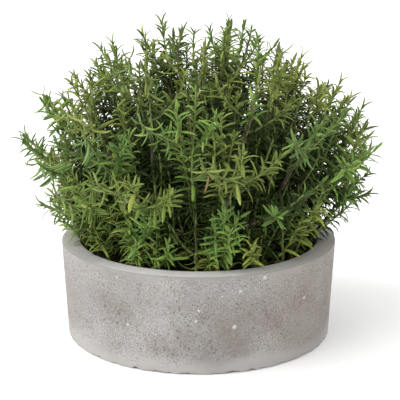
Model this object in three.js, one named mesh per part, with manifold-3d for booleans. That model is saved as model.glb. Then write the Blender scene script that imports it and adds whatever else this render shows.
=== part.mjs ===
// Rosemary growing in a low round concrete pot.
// Millimetres, +Z up, origin at the centre of the pot's underside, -Y to the front.
//
// The pot is filled with soil. Woody plants stand in holes in the soil, each a short trunk with a
// branch for every sprig it carries. A sprig is a green stem with side shoots, all with opposite
// pairs of needle leaves, each pair turned a quarter from the one below. Low shoots round the
// edge are leafy stems of the same kind that stand in holes of their own.

import * as THREE from "three";
import { mergeVertices } from "three/addons/utils/BufferGeometryUtils.js";
import Module from "manifold-3d";

const wasm = await Module();
wasm.setup();

const DEG = Math.PI / 180;
const TURN = 2 * Math.PI;
const GOLDEN_ANGLE = Math.PI * (3 - Math.sqrt(5));
const UP = new THREE.Vector3(0, 0, 1);
const GAP = 0.3; // between pieces that touch

// Pot
const POT_RIM_RADIUS = 175;
const POT_BASE_RADIUS = 169;
const POT_HEIGHT = 122;
const POT_WALL = 24;
const POT_HOLLOW_RADIUS = POT_RIM_RADIUS - POT_WALL;
const POT_FLOOR = 20;
const POT_DRAFT = 5; // how much narrower the hollow is at its floor than at the rim
const POT_BEVEL = 1.5;
const POT_CORNER = 8;
const POT_SIDES = 56;

// Soil, a little higher in the middle than at the wall
const SOIL_EDGE_Z = 111;
const SOIL_CROWN = 5;
const SOIL_INSET = 0.5; // of its top edge from the wall, more than GAP

// Woody plants: one in the middle and the rest in a ring
const PLANT_COUNT = 8;
const PLANT_RING_RADIUS = 84;
const PLANT_SCATTER = 6; // most that a plant stands off the ring
const TRUNK_RADIUS = 5;
const TRUNK_RISE = 17; // above the soil
const TRUNK_DEPTH = 30; // below it
const TRUNK_SHOULDER = 2; // height over which the trunk's top closes in
const TRUNK_SHOULDER_RADIUS = 4.2;
const TRUNK_TOP_RADIUS = 2.5;
const TRUNK_SIDES = 8;
const BRANCH_ROOT = 7; // how far below the trunk's top the branches start
const BRANCH_RADIUS = 2.9;
const BRANCH_END_RADIUS = 2.1;
const BRANCH_SIDES = 4;
const BRANCH_STEP = 52; // longest straight piece of a branch
const BRANCH_RISE = 0.6; // how much more upright than straight to its tip a branch sets out

// Sprigs: their tips lie on a dome that draws in below its shoulder
const SPRIG_COUNT = 36;
const SPRIG_LENGTH = 92; // of the leafy stem
const DOME_CENTRE_Z = POT_HEIGHT + 20;
const DOME_RADIUS = 259;
const DOME_SHOULDER = 62 * DEG; // from the vertical
const DOME_LOWEST = 75 * DEG;
const DOME_DRAW_IN = 0.36; // share of the radius lost from the shoulder to the horizontal
const DOME_RAGGED = 0.08; // share of the radius by which tips fall short
const FOOT_SHARE = 0.42; // a sprig grows from the plant nearest to this share of its tip's reach
const END_LEAN = 0.62; // a sprig's last lean, as a share of its tip's angle from the vertical
const SPRIG_FORKS = [
  { at: 24, face: 0 },
  { at: 41, face: 2 },
];
const FORK_SPREAD = 44; // from the main tip to a side tip
const FORK_DROP = 13; // how much lower a side tip is
const FORK_RISE = 0.8; // a side shoot's first direction, along the stem against away from it
const FORK_SPLAY = 0.25; // its last direction, away from the stem against along it
const GROWTH_REACH = 0.35; // how far a curve keeps its first and last directions, as a share of its span

// Low shoots round the edge of the soil, leaning further out at the sides than at the front
const LOW_COUNT = 14;
const LOW_FOOT_RADIUS = 131;
const LOW_FOOT_SCATTER = 4;
const LOW_DEPTH = 12;
const LOW_RISE = 82;
const LOW_RISE_SCATTER = 16;
const LOW_REACH = 10;
const LOW_SIDE_REACH = 30;
const LOW_FORKS = [{ at: LOW_DEPTH + 24, face: 0 }];
const LOW_SPREAD = 28;
const LOW_LEAN = 1.2; // a low shoot's last lean, as a share of the slope to its tip
const LOW_SHIFT = 0.8; // share of its sector of the edge that a low shoot can move round in
const LOW_HOLE_SIDES = 6;

// Leafy stems and their leaves
const STEM_SIDES = 4;
const STEM_RADIUS = 1.4; // from the axis to a flat, so that leaves are twice as wide at the foot
const STEM_TIP_RADIUS = 1.1;
const NODE_STEP = 17; // from one pair of leaves to the next
const FIRST_NODE = 6;
const FORK_HEIGHT = 3;
const FORK_MARGIN = 0.5; // least height from a fork's upper ring to the next node
const STEMS_A_NODE = 4; // stems are numbered in fours, the main one of each piece first
const TRIALS = 16; // plans to choose from for each piece
const TRIAL_STRIDE = 100; // between the draws of one trial and the next
const TIP_LENGTH = 5; // of the bud above the last pair
const LEAF_LENGTH = 24;
const LEAF_TAPER = 0.3; // share of the length that the last pair lacks
const LEAF_SCATTER = 0.15; // share by which lengths differ
const LEAF_FOOT = 2.4; // height of a leaf's foot on the stem
const LEAF_TIP_WIDTH = 1.4;
const LEAF_ANGLE = 54 * DEG; // from the stem
const TIP_LEAF_ANGLE = 24 * DEG; // the same for the last pair
const LEAF_TILT = 8 * DEG; // most that a leaf's angle differs from its node's
const LEAF_ROOM = 1.3; // radius kept clear round a leaf
const LEAF_CLEARANCE = 0.4;
const LEAF_OFF_STEM = 0.15; // share of its length over which a leaf is still close to its stem
const LEAF_NUMBERS = 1000; // leaves are numbered from here up, clear of the stems' numbers
const LEAVES_A_STEM = 100; // numbers kept for the leaves of each stem

// What is tried, in turn, for a leaf that would touch something: how far it is swung aside, and
// the share of its length that is left
const SWINGS = [0, 14, -14, 28, -28, 0, 24, -24, 0].map((angle) => angle * DEG);
const SHRINKS = [1, 1, 1, 0.95, 0.95, 0.75, 0.75, 0.75, 0.55];

const CONCRETE = new THREE.MeshStandardMaterial({ color: "#b3ada5", roughness: 0.92, metalness: 0 });
const EARTH = new THREE.MeshStandardMaterial({ color: "#2b221b", roughness: 1, metalness: 0 });
const BARK = new THREE.MeshStandardMaterial({ color: "#6d5a49", roughness: 0.9, metalness: 0 });
const FOLIAGE = new THREE.MeshStandardMaterial({ color: "#5f8440", roughness: 0.6, metalness: 0 });

// A repeatable draw from 0 to 1 for item n, with its own series for each use.
function draw(n, series) {
  const x = Math.sin(n * 12.9898 + series * 78.233) * 43758.5453;
  return x - Math.floor(x);
}

// The same from -1 to 1.
function eitherWay(n, series) {
  return 2 * draw(n, series) - 1;
}

function polar(radius, azimuth, z) {
  return new THREE.Vector3(radius * Math.cos(azimuth), radius * Math.sin(azimuth), z);
}

function named(name, geometry, material) {
  const mesh = new THREE.Mesh(geometry, material.clone());
  mesh.name = name;
  return mesh;
}

// ---- Solids -------------------------------------------------------------------------------

function toSolid(geometry) {
  const bare = geometry.clone();
  bare.deleteAttribute("normal");
  bare.deleteAttribute("uv");
  const merged = mergeVertices(bare, 1e-4);
  return new wasm.Manifold(
    new wasm.Mesh({
      numProp: 3,
      vertProperties: new Float32Array(merged.attributes.position.array),
      triVerts: new Uint32Array(merged.index.array),
    }),
  );
}

function toGeometry(solid) {
  const { vertProperties, triVerts } = solid.getMesh();
  const geometry = new THREE.BufferGeometry();
  geometry.setAttribute("position", new THREE.BufferAttribute(new Float32Array(vertProperties), 3));
  geometry.setIndex(new THREE.BufferAttribute(new Uint32Array(triVerts), 1));
  return geometry;
}

// Turns an outline of [radius, z] points round the Z axis.
function turned(outline, sides) {
  const points = outline.map(([radius, z]) => new THREE.Vector2(radius, z));
  return new THREE.LatheGeometry(points, sides).rotateX(Math.PI / 2);
}

// A surface built up from points and from faces whose corners run anticlockwise seen from outside.
class Surface {
  constructor() {
    this.points = [];
    this.triangles = [];
  }

  add(point) {
    return this.points.push(point) - 1;
  }

  face(...corners) {
    for (let i = 2; i < corners.length; i += 1) {
      this.triangles.push(corners[0], corners[i - 1], corners[i]);
    }
  }

  geometry() {
    const geometry = new THREE.BufferGeometry().setFromPoints(this.points);
    return geometry.setIndex(this.triangles);
  }
}

// ---- Stems --------------------------------------------------------------------------------

// A line of growth, measured in millimetres along it.
class Path {
  constructor(...curves) {
    this.curve = new THREE.CurvePath();
    curves.forEach((curve) => this.curve.add(curve));
    this.length = this.curve.getLength();
  }

  at(distance) {
    return this.curve.getPointAt(THREE.MathUtils.clamp(distance / this.length, 0, 1));
  }

  along(distance) {
    return this.curve.getTangentAt(THREE.MathUtils.clamp(distance / this.length, 0, 1));
  }
}

// Centre and axes of a ring round a path: along it, out towards face 0, and sideways.
function frameAt(path, distance, towards) {
  const along = path.along(distance);
  const out = towards.clone().addScaledVector(along, -towards.dot(along)).normalize();
  const side = new THREE.Vector3().crossVectors(along, out);
  return { centre: path.at(distance), along, out, side };
}

// The direction in a ring's plane at an angle from face 0.
function acrossStem(frame, angle) {
  const direction = frame.out.clone().multiplyScalar(Math.cos(angle));
  return direction.addScaledVector(frame.side, Math.sin(angle));
}

// Adds a ring of corners whose flats are at the given radius.
function addRing(surface, frame, radius, sides) {
  const cornerRadius = radius / Math.cos(Math.PI / sides);
  return Array.from({ length: sides }, (_, corner) => {
    const direction = acrossStem(frame, ((corner - 0.5) * TURN) / sides);
    return surface.add(frame.centre.clone().addScaledVector(direction, cornerRadius));
  });
}

// The point on the middle line of a face, a share of the way from its lower to its upper edge.
function onFace(surface, [a, b, c, d], share) {
  const [pa, pb, pc, pd] = [a, b, c, d].map((corner) => surface.points[corner]);
  const low = pa.clone().lerp(pb, 0.5);
  return low.lerp(pd.clone().lerp(pc, 0.5), share);
}

// Raises a three-sided leaf from the lower part of a face, and closes the face round its foot.
// The leaf is flat underneath, keeled on top, and thins to a blunt edge at its tip.
function raiseLeaf(surface, face, footShare, [tipLeft, tipRight]) {
  const [a, b, c, d] = face;
  const top = surface.add(onFace(surface, face, footShare));
  const left = surface.add(tipLeft);
  const right = surface.add(tipRight);
  surface.face(a, b, right, left);
  surface.face(b, top, right);
  surface.face(top, left, right);
  surface.face(top, a, left);
  surface.face(b, c, top);
  if (c !== d) {
    surface.face(c, d, top);
  }
  surface.face(d, a, top);
}

// Grows a leafy stem along a path from a loop of corners, through rings of { at, radius, leafOn,
// fork }. leafOn gives the tip edge of the leaf that a face above the ring carries, or nothing.
// The face above a ring with a fork is left open. The stem ends in a point, and the open faces
// are returned from the lowest up.
function growStem(surface, loop, path, towards, rings) {
  const open = [];
  let lower = loop;
  let below = {};
  let out = towards;
  const band = (upper, height) => {
    for (let side = 0; side < STEM_SIDES; side += 1) {
      const next = (side + 1) % STEM_SIDES;
      const face = [lower[side], lower[next], upper[next], upper[side]];
      const tipEdge = below.leafOn ? below.leafOn(side, below.frame) : null;
      if (tipEdge) {
        raiseLeaf(surface, face, LEAF_FOOT / height, tipEdge);
      } else if (below.fork === side) {
        open.push(face);
      } else if (face[2] === face[3]) {
        surface.face(...face.slice(0, 3));
      } else {
        surface.face(...face);
      }
    }
    lower = upper;
  };
  rings.forEach((ring) => {
    const frame = frameAt(path, ring.at, out);
    out = frame.out;
    band(addRing(surface, frame, ring.radius, STEM_SIDES), ring.at - (below.at ?? 0));
    below = { ...ring, frame };
  });
  const bud = surface.add(path.at(path.length));
  band(new Array(STEM_SIDES).fill(bud), path.length - below.at);
  return open;
}

// A tapered tube with flat ends along part of a path.
function tube(path, from, to, startRadius, endRadius, sides) {
  const surface = new Surface();
  const steps = Math.max(2, Math.ceil((to - from) / BRANCH_STEP));
  let lower = null;
  let out = new THREE.Vector3(1, 0, 0);
  for (let step = 0; step <= steps; step += 1) {
    const share = step / steps;
    const frame = frameAt(path, THREE.MathUtils.lerp(from, to, share), out);
    out = frame.out;
    const upper = addRing(surface, frame, THREE.MathUtils.lerp(startRadius, endRadius, share), sides);
    if (lower) {
      upper.forEach((corner, side) => {
        const next = (side + 1) % sides;
        surface.face(lower[side], lower[next], upper[next], corner);
      });
    } else {
      surface.face(...upper.toReversed());
    }
    lower = upper;
  }
  surface.face(...lower);
  return surface.geometry();
}

// ---- Layout -------------------------------------------------------------------------------

function soilHeight(radius) {
  return SOIL_EDGE_Z + SOIL_CROWN * (1 - (radius / POT_HOLLOW_RADIUS) ** 2);
}

function onSoil(radius, azimuth) {
  return polar(radius, azimuth, soilHeight(radius));
}

function plantFoot(index) {
  if (index === 0) {
    return onSoil(0, 0);
  }
  const azimuth = ((index - 0.5) / (PLANT_COUNT - 1)) * TURN;
  return onSoil(PLANT_RING_RADIUS + PLANT_SCATTER * eitherWay(index, 1), azimuth);
}

// A point of the dome at an angle from the vertical, at a share of its full radius.
function domePoint(fromVertical, azimuth, share) {
  const low = Math.max(0, (fromVertical - DOME_SHOULDER) / (90 * DEG - DOME_SHOULDER));
  const radius = DOME_RADIUS * share * (1 - DOME_DRAW_IN * low);
  const point = polar(radius * Math.sin(fromVertical), azimuth, 0);
  point.z = DOME_CENTRE_Z + radius * Math.cos(fromVertical);
  return point;
}

// A curve from a foot to a tip, with the directions it sets out and arrives in.
function growthCurve(foot, setOut, tip, arrive) {
  const reach = foot.distanceTo(tip) * GROWTH_REACH;
  return new THREE.CubicBezierCurve3(
    foot,
    foot.clone().addScaledVector(setOut, reach),
    tip.clone().addScaledVector(arrive, -reach),
    tip,
  );
}

function leaning(azimuth, angle) {
  return polar(Math.sin(angle), azimuth, Math.cos(angle));
}

// The path of a side shoot that leaves a stem at a fork, towards the side that its face looks to.
function planFork(path, towards, { at, face }, spread) {
  const frame = frameAt(path, at, towards);
  const sideways = acrossStem(frame, (face * TURN) / STEM_SIDES);
  const start = frame.centre.clone().addScaledVector(sideways, STEM_RADIUS);
  const last = path.along(path.length);
  const tip = path.at(path.length).addScaledVector(sideways, spread).addScaledVector(last, -FORK_DROP);
  const setOut = sideways.clone().addScaledVector(frame.along, FORK_RISE).normalize();
  const arrive = last.clone().addScaledVector(sideways, FORK_SPLAY).normalize();
  return new Path(growthCurve(start, setOut, tip, arrive));
}

const feet = Array.from({ length: PLANT_COUNT }, (_, index) => plantFoot(index));

function planSprig(index, trial) {
  const share = (index + 0.5) / SPRIG_COUNT;
  const fromVertical = Math.acos(1 - share * (1 - Math.cos(DOME_LOWEST)));
  const azimuth = index * GOLDEN_ANGLE;
  const tip = domePoint(fromVertical, azimuth, 1 - DOME_RAGGED * draw(index + trial, 2));
  const aim = tip.clone().multiplyScalar(FOOT_SHARE).setZ(0);
  const distances = feet.map((foot) => Math.hypot(foot.x - aim.x, foot.y - aim.y));
  const plant = distances.indexOf(Math.min(...distances));
  const start = feet[plant].clone().addScaledVector(UP, TRUNK_RISE - BRANCH_ROOT);
  const setOut = tip.clone().sub(start).normalize().addScaledVector(UP, BRANCH_RISE).normalize();
  const path = new Path(growthCurve(start, setOut, tip, leaning(azimuth, END_LEAN * fromVertical)));
  const startAt = path.length - SPRIG_LENGTH;

  // The side shoots spread any way near the top, and more nearly level lower down.
  const swing = eitherWay(index + trial, 3) * Math.cos(fromVertical) * 90 * DEG;
  const level = polar(Math.cos(swing), azimuth + 90 * DEG, Math.sin(swing));
  const forks = SPRIG_FORKS.map(({ at, face }) => ({ at: startAt + at, face }));
  const sidePaths = forks.map((fork) => planFork(path, level, fork, FORK_SPREAD));
  const stem = index * STEMS_A_NODE;
  return { stem, plant, path, startAt, leafyFrom: startAt, towards: level, forks, sidePaths };
}

function planLowShoot(index, trial) {
  const azimuth = ((index + LOW_SHIFT * draw(index + trial, 4)) / LOW_COUNT) * TURN;
  const foot = onSoil(LOW_FOOT_RADIUS + LOW_FOOT_SCATTER * eitherWay(index, 5), azimuth);
  const reach = LOW_REACH + LOW_SIDE_REACH * Math.cos(azimuth) ** 2;
  const rise = LOW_RISE + LOW_RISE_SCATTER * eitherWay(index + trial, 6);
  const tip = foot.clone().add(polar(reach, azimuth, rise));
  const lean = Math.atan2(reach, rise) * LOW_LEAN;
  const root = new THREE.LineCurve3(foot.clone().addScaledVector(UP, -LOW_DEPTH), foot);
  const path = new Path(root, growthCurve(foot, UP, tip, leaning(azimuth, lean)));
  const towards = polar(trial % 2 ? 1 : -1, azimuth + 90 * DEG, 0);
  const sidePaths = LOW_FORKS.map((fork) => planFork(path, towards, fork, LOW_SPREAD));
  const stem = (SPRIG_COUNT + index) * STEMS_A_NODE;
  const forks = LOW_FORKS;
  return { stem, plant: null, foot, path, startAt: 0, leafyFrom: LOW_DEPTH, towards, forks, sidePaths };
}

// ---- Clearance ----------------------------------------------------------------------------

// Thick lines for all the stems and leaves that are placed so far. Lines of the same stem, and
// of all the branches of one plant, share a number and aren't held clear of each other.
const placed = [];
const LINE_LENGTH = 12;

function lineUp(path, from, to, radius, stem) {
  const steps = Math.ceil((to - from) / LINE_LENGTH);
  return Array.from({ length: steps }, (_, step) => {
    const start = path.at(THREE.MathUtils.lerp(from, to, step / steps));
    const end = path.at(THREE.MathUtils.lerp(from, to, (step + 1) / steps));
    return { line: new THREE.Line3(start, end), radius, stem };
  });
}

function linesOf({ stem, plant, path, startAt, sidePaths }) {
  const room = STEM_RADIUS * Math.SQRT2;
  return [
    ...lineUp(path, 0, startAt, BRANCH_RADIUS, -1 - plant),
    ...lineUp(path, startAt, path.length, room, stem),
    ...sidePaths.flatMap((side, i) => lineUp(side, 0, side.length, room, stem + 1 + i)),
  ];
}

// The free space between two thick lines.
function between(one, other) {
  return Math.sqrt(one.line.distanceSqToLine3(other.line)) - one.radius - other.radius;
}

function roomRound(line) {
  const others = placed.filter((other) => other.stem !== line.stem);
  return others.reduce((room, other) => Math.min(room, between(line, other)), Infinity);
}

// Plans a piece several times with other draws, and places the plan with the most room round it.
function placePlan(makePlan, index) {
  const trials = Array.from({ length: TRIALS }, (_, trial) => makePlan(index, trial * TRIAL_STRIDE));
  const rooms = trials.map((plan) => Math.min(...linesOf(plan).map(roomRound)));
  const best = rooms.indexOf(Math.max(...rooms));
  placed.push(...linesOf(trials[best]));
  return trials[best];
}

function isClearOfPot(point) {
  const radius = Math.hypot(point.x, point.y);
  const margin = LEAF_ROOM + LEAF_CLEARANCE;
  if (radius < POT_HOLLOW_RADIUS - margin) {
    return point.z > soilHeight(radius) + margin;
  }
  return radius > POT_RIM_RADIUS + margin || point.z > POT_HEIGHT + margin;
}

// ---- Leaves -------------------------------------------------------------------------------

// Tries a leaf straight out from its face, then swung aside or shorter, until it is clear of all
// that is placed so far. The answer is the two ends of its tip edge, or nothing where no trial
// is clear.
function placeLeaf(frame, radius, turn, angle, length, { stem, leaf }) {
  for (let trial = 0; trial < SWINGS.length; trial += 1) {
    const out = acrossStem(frame, turn + SWINGS[trial]);
    const heading = frame.along.clone().multiplyScalar(Math.cos(angle));
    heading.addScaledVector(out, Math.sin(angle));
    const foot = frame.centre.clone().addScaledVector(acrossStem(frame, turn), radius);
    const tip = foot.clone().addScaledVector(heading, length * SHRINKS[trial]);
    const line = new THREE.Line3(foot.clone().lerp(tip, LEAF_OFF_STEM), tip);
    const middle = foot.clone().lerp(tip, 0.5);
    const isFree = roomRound({ line, radius: LEAF_ROOM, stem }) > LEAF_CLEARANCE;
    if (isFree && isClearOfPot(tip) && isClearOfPot(middle)) {
      placed.push({ line, radius: LEAF_ROOM, stem: leaf });
      const across = new THREE.Vector3().crossVectors(frame.along, out);
      const half = LEAF_TIP_WIDTH / 2;
      return [-half, half].map((offset) => tip.clone().addScaledVector(across, offset));
    }
  }
  return null;
}

// The rings of a leafy stem: a pair of leaves above each node, crosswise to the pair below, and
// two rings close together round each fork.
function leafyRings(path, from, stem, forks) {
  const last = path.length - TIP_LENGTH;
  const gaps = Math.max(1, Math.round((last - from - FIRST_NODE) / NODE_STEP));
  const nodes = Array.from({ length: gaps + 1 }, (_, node) => {
    const height = node / gaps;
    const at = THREE.MathUtils.lerp(from + FIRST_NODE, last, height);
    const radius = THREE.MathUtils.lerp(STEM_RADIUS, STEM_TIP_RADIUS, height);
    const leafOn = (face, frame) => {
      if (face % 2 !== node % 2) {
        return null;
      }
      const leaf = LEAF_NUMBERS + stem * LEAVES_A_STEM + node * STEM_SIDES + face;
      const fullLength = LEAF_LENGTH * (1 + LEAF_SCATTER * eitherWay(leaf, 7));
      const length = fullLength * (1 - LEAF_TAPER * height ** 2);
      const tilt = LEAF_TILT * eitherWay(leaf, 8);
      const angle = THREE.MathUtils.lerp(LEAF_ANGLE, TIP_LEAF_ANGLE, height ** 3) + tilt;
      return placeLeaf(frame, radius, (face * TURN) / STEM_SIDES, angle, length, { stem, leaf });
    };
    return { at, radius, leafOn };
  });
  const rings = forks.flatMap(({ at, face }) => [
    { at, radius: STEM_RADIUS, fork: face },
    { at: at + FORK_HEIGHT, radius: STEM_RADIUS },
  ]);
  const clearOfForks = nodes.filter((node) => {
    return forks.every(({ at }) => {
      return node.at < at - FORK_HEIGHT || node.at > at + FORK_HEIGHT + FORK_MARGIN;
    });
  });
  return [...clearOfForks, ...rings].sort((one, other) => one.at - other.at);
}

// Grows a leafy stem and its side shoots in one surface.
function growSpray({ stem, path, startAt, leafyFrom, towards, forks, sidePaths }) {
  const surface = new Surface();
  const loop = addRing(surface, frameAt(path, startAt, towards), STEM_RADIUS, STEM_SIDES);
  surface.face(...loop.toReversed());
  const rings = leafyRings(path, leafyFrom, stem, forks);
  growStem(surface, loop, path, towards, rings).forEach((open, side) => {
    const downwards = path.along(forks[side].at).negate();
    const sideRings = leafyRings(sidePaths[side], 0, stem + 1 + side, []);
    growStem(surface, open, sidePaths[side], downwards, sideRings);
  });
  return surface.geometry();
}

// ---- Pieces -------------------------------------------------------------------------------

function makePot() {
  const floorRadius = POT_HOLLOW_RADIUS - POT_DRAFT;
  const outline = [
    [0, 0],
    [POT_BASE_RADIUS - POT_BEVEL, 0],
    [POT_BASE_RADIUS, POT_BEVEL],
    [POT_RIM_RADIUS, POT_HEIGHT - POT_BEVEL],
    [POT_RIM_RADIUS - POT_BEVEL, POT_HEIGHT],
    [POT_HOLLOW_RADIUS + POT_BEVEL, POT_HEIGHT],
    [POT_HOLLOW_RADIUS, POT_HEIGHT - POT_BEVEL],
    [floorRadius, POT_FLOOR + POT_CORNER],
    [floorRadius - POT_CORNER, POT_FLOOR],
    [0, POT_FLOOR],
  ];
  return named("pot", turned(outline, POT_SIDES), CONCRETE);
}

// A plain upright hole from above the soil down to a depth below a foot.
function hole(foot, radius, depth, sides) {
  const height = depth + SOIL_CROWN;
  const cutter = new THREE.CylinderGeometry(radius, radius, height, sides).rotateX(Math.PI / 2);
  return toSolid(cutter.translate(foot.x, foot.y, foot.z - depth + height / 2));
}

function makeSoil(lowShoots) {
  const floorRadius = POT_HOLLOW_RADIUS - POT_DRAFT - GAP;
  const top = [1, 0.55, 0].map((share) => share * (POT_HOLLOW_RADIUS - GAP - SOIL_INSET));
  const outline = [
    [0, POT_FLOOR + GAP],
    [floorRadius - POT_CORNER, POT_FLOOR + GAP],
    [floorRadius, POT_FLOOR + GAP + POT_CORNER],
    ...top.map((radius) => [radius, soilHeight(radius)]),
  ];
  let soil = toSolid(turned(outline, POT_SIDES));
  feet.forEach((foot) => {
    soil = soil.subtract(hole(foot, TRUNK_RADIUS + GAP, TRUNK_DEPTH + GAP, TRUNK_SIDES));
  });
  lowShoots.forEach(({ foot }) => {
    const radius = STEM_RADIUS * Math.SQRT2 + 2 * GAP;
    soil = soil.subtract(hole(foot, radius, LOW_DEPTH + GAP, LOW_HOLE_SIDES));
  });
  return named("soil", toGeometry(soil), EARTH);
}

// A trunk in its hole and the branches that grow from it.
function makePlant(foot, index, carried) {
  const outline = [
    [0, -TRUNK_DEPTH],
    [TRUNK_RADIUS, -TRUNK_DEPTH],
    [TRUNK_RADIUS, 0],
    [TRUNK_SHOULDER_RADIUS, TRUNK_RISE - TRUNK_SHOULDER],
    [TRUNK_TOP_RADIUS, TRUNK_RISE],
    [0, TRUNK_RISE],
  ];
  let plant = toSolid(turned(outline, TRUNK_SIDES).translate(foot.x, foot.y, foot.z));
  carried.forEach(({ path, startAt }) => {
    const branch = tube(path, 0, startAt - GAP, BRANCH_RADIUS, BRANCH_END_RADIUS, BRANCH_SIDES);
    plant = plant.add(toSolid(branch));
  });
  return named(`woody_plant_${index + 1}`, toGeometry(plant), BARK);
}

function leafy(family, index, plan) {
  const name = `${family}_${String(index + 1).padStart(2, "0")}`;
  return named(name, growSpray(plan), FOLIAGE);
}

// ---- The whole ----------------------------------------------------------------------------

// All the stems are placed before the first leaf is.
const sprigs = Array.from({ length: SPRIG_COUNT }, (_, index) => placePlan(planSprig, index));
const lowShoots = Array.from({ length: LOW_COUNT }, (_, index) => placePlan(planLowShoot, index));

const rosemary = new THREE.Group();
rosemary.add(makePot());
rosemary.add(makeSoil(lowShoots));
feet.forEach((foot, index) => {
  rosemary.add(makePlant(foot, index, sprigs.filter(({ plant }) => plant === index)));
});
sprigs.forEach((plan, index) => rosemary.add(leafy("sprig", index, plan)));
lowShoots.forEach((plan, index) => rosemary.add(leafy("low_shoot", index, plan)));

export default rosemary;
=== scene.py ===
# Rosemary growing in a low round concrete pot. Metres, +Z up, origin at the centre of the pot's
# underside, -Y to the front.
#
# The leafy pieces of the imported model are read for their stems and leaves. Each is replaced by a
# finer piece on the same stems, which keeps those leaves in place and has more pairs between
# them. More shoots then grow from the wood and the soil, up to what lies between the tips.

import itertools
import math

import bmesh
import bpy
import numpy as np
from mathutils import Euler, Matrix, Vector
from mathutils.kdtree import KDTree


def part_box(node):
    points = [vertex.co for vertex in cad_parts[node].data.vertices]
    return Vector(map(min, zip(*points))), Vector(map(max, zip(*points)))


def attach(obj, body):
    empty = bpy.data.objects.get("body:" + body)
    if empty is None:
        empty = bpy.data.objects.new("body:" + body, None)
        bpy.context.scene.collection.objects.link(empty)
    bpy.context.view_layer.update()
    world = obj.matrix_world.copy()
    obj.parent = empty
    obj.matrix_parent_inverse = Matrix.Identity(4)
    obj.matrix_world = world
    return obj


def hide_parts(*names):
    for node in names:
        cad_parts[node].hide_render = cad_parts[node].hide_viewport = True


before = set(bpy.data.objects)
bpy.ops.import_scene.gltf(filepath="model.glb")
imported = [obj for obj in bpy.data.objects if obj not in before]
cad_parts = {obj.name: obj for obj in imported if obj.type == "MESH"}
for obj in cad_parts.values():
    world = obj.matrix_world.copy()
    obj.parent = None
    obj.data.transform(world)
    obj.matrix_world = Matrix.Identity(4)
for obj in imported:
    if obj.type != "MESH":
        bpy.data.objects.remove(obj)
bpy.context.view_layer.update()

UP = np.array([0.0, 0.0, 1.0])

# Camera, from a fit of the pot's edges in the photograph
CAMERA_PLACE = (0.0, -1.4053, 0.528)
CAMERA_PITCH = math.radians(14.35)  # down
CAMERA_YAW = math.radians(-0.074)
CAMERA_LENS = 102.08
SENSOR_WIDTH = 36.0

# What the frame says of the pot and the soil
RIM_RADIUS, _, POT_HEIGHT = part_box("pot")[1]
SOIL_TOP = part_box("soil")[1].z
pot_corners = np.array([corner.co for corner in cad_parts["pot"].data.vertices])
pot_radii = np.hypot(*pot_corners[:, :2].T)
BEVEL = 0.002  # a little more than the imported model's
BASE_RADIUS = pot_radii[pot_corners[:, 2] < BEVEL].max()
HOLLOW_RADIUS = pot_radii[pot_corners[:, 2] > POT_HEIGHT - BEVEL].min()
FLOOR_HEIGHT = pot_corners[pot_radii < BEVEL, 2].max()
SOIL_CROWN = 0.005  # how much higher the soil is in the middle than at the wall
CROWN_CENTRE = np.array([0.0, 0.0, POT_HEIGHT + 0.02])  # from which the shoots spread

# Reading the leafy pieces. Edges round a stem and up a leaf's foot are shorter than RING_EDGE.
MERGE = 2e-5
RING_EDGE = 0.00312
KEPT_STEP = 0.017  # between pairs of leaves
KEPT_GAPS = 3  # how many finer steps take the place of one

# Shoots
INTERNODE = 0.006  # between pairs of leaves
TIP_GAP = 0.004  # from the last pair of leaves to the end of a stem
STEM_RADIUS = 0.0014
STEM_TIP_RADIUS = 0.001
WOODY_RADIUS = 0.0018
STEM_SIDES = 6
STEM_STEP = 0.006
ANY_SIDE = np.array([0.6, 0.7, 0.4])  # a direction that no stem runs along
PAIR_TWIST = 0.12  # scatter of the turn from pair to pair, in radians

# Leaves
LEAF_LENGTH = 0.022
LEAF_WIDTH = 0.0037
LOW_LEAF_SIZE = 1.08
HIGH_LEAF_SIZE = 0.95  # on the stems that reach highest, as a share of the size on the lowest
LEAF_SIZE_HEIGHTS = (0.2, 0.36)  # of stems' ends, between which leaves get smaller
LOW_SPREAD, TOP_SPREAD = math.radians(84), math.radians(56)  # from the stem
TUFT_SHARE = 0.6  # of the leaves have small ones in their corners, at the foot of a stem
BROAD_SHARE = 0.09
DRY_SHARE = 0.005
HUE_SCATTER, BRIGHTNESS_SCATTER = 1.2, 1.0  # in columns and rows of the map

# Where leaves meet the pot and the soil
CLEARANCE = 0.001
LIFT = 0.009  # how far leaves bend up to clear the wall
LIFTED_HEIGHT = POT_HEIGHT + 0.0015

# Painted shade: leaves take darker rows of the map deep in the crown and round the hollows, less so
# near the top
LIT_DEPTH, DARK_DEPTH = 0.04, 0.26  # depths in the crown, in shares, between which they darken
PAINTED_SHADE = 0.95
TOP_HEIGHTS = (0.29, 0.35)
TOP_LIGHTENING = 0.7  # how much less they darken at the upper one of these heights and above
NEARNESS = 60.0  # how closely the crown follows the ends of the lines
# Round these hollows, which the shoots keep out of, the leaves get painted shade
GAPS = (  # the place and the size of dark hollows between the shoots
    (0.105, -0.15, 0.205, 0.036),
    (-0.013, -0.145, 0.155, 0.018),
    (0.056, -0.15, 0.178, 0.015),
    (0.045, -0.14, 0.136, 0.014),
    (-0.095, -0.1, 0.133, 0.014),
    (-0.14, -0.05, 0.233, 0.015),
    (-0.13, -0.07, 0.19, 0.016),
)
GAP_FADE = (1.3, 0.6)  # shares of a hollow's size between which leaves darken

# The map that the foliage is coloured by: a cell for each tone of leaf, and a row for stems
MAP_NAME = "OFBake"
COLUMNS, ROWS = 16, 8
CELL_EDGE = 0.06  # left free round a cell
FOOT_PLACE = 0.03  # how far up its cell the hidden end of a leaf reaches
STEM_ROW = ROWS - 1
STEM_END_PLACE = 0.01  # how much of the map's height the ends of a stem take up
DRY_COLUMN = COLUMNS - 1


# ---- Numbers


def unit(vectors):
    return vectors / np.linalg.norm(vectors, axis=-1, keepdims=True)


def dot(one, other):
    return np.sum(one * other, axis=-1, keepdims=True)


def swing(one, other, angle):
    """A direction at an angle from one towards other, which is square to it."""
    return math.cos(angle) * one + math.sin(angle) * other


def radius_of(points):
    return np.hypot(points[:, 0], points[:, 1])


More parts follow.
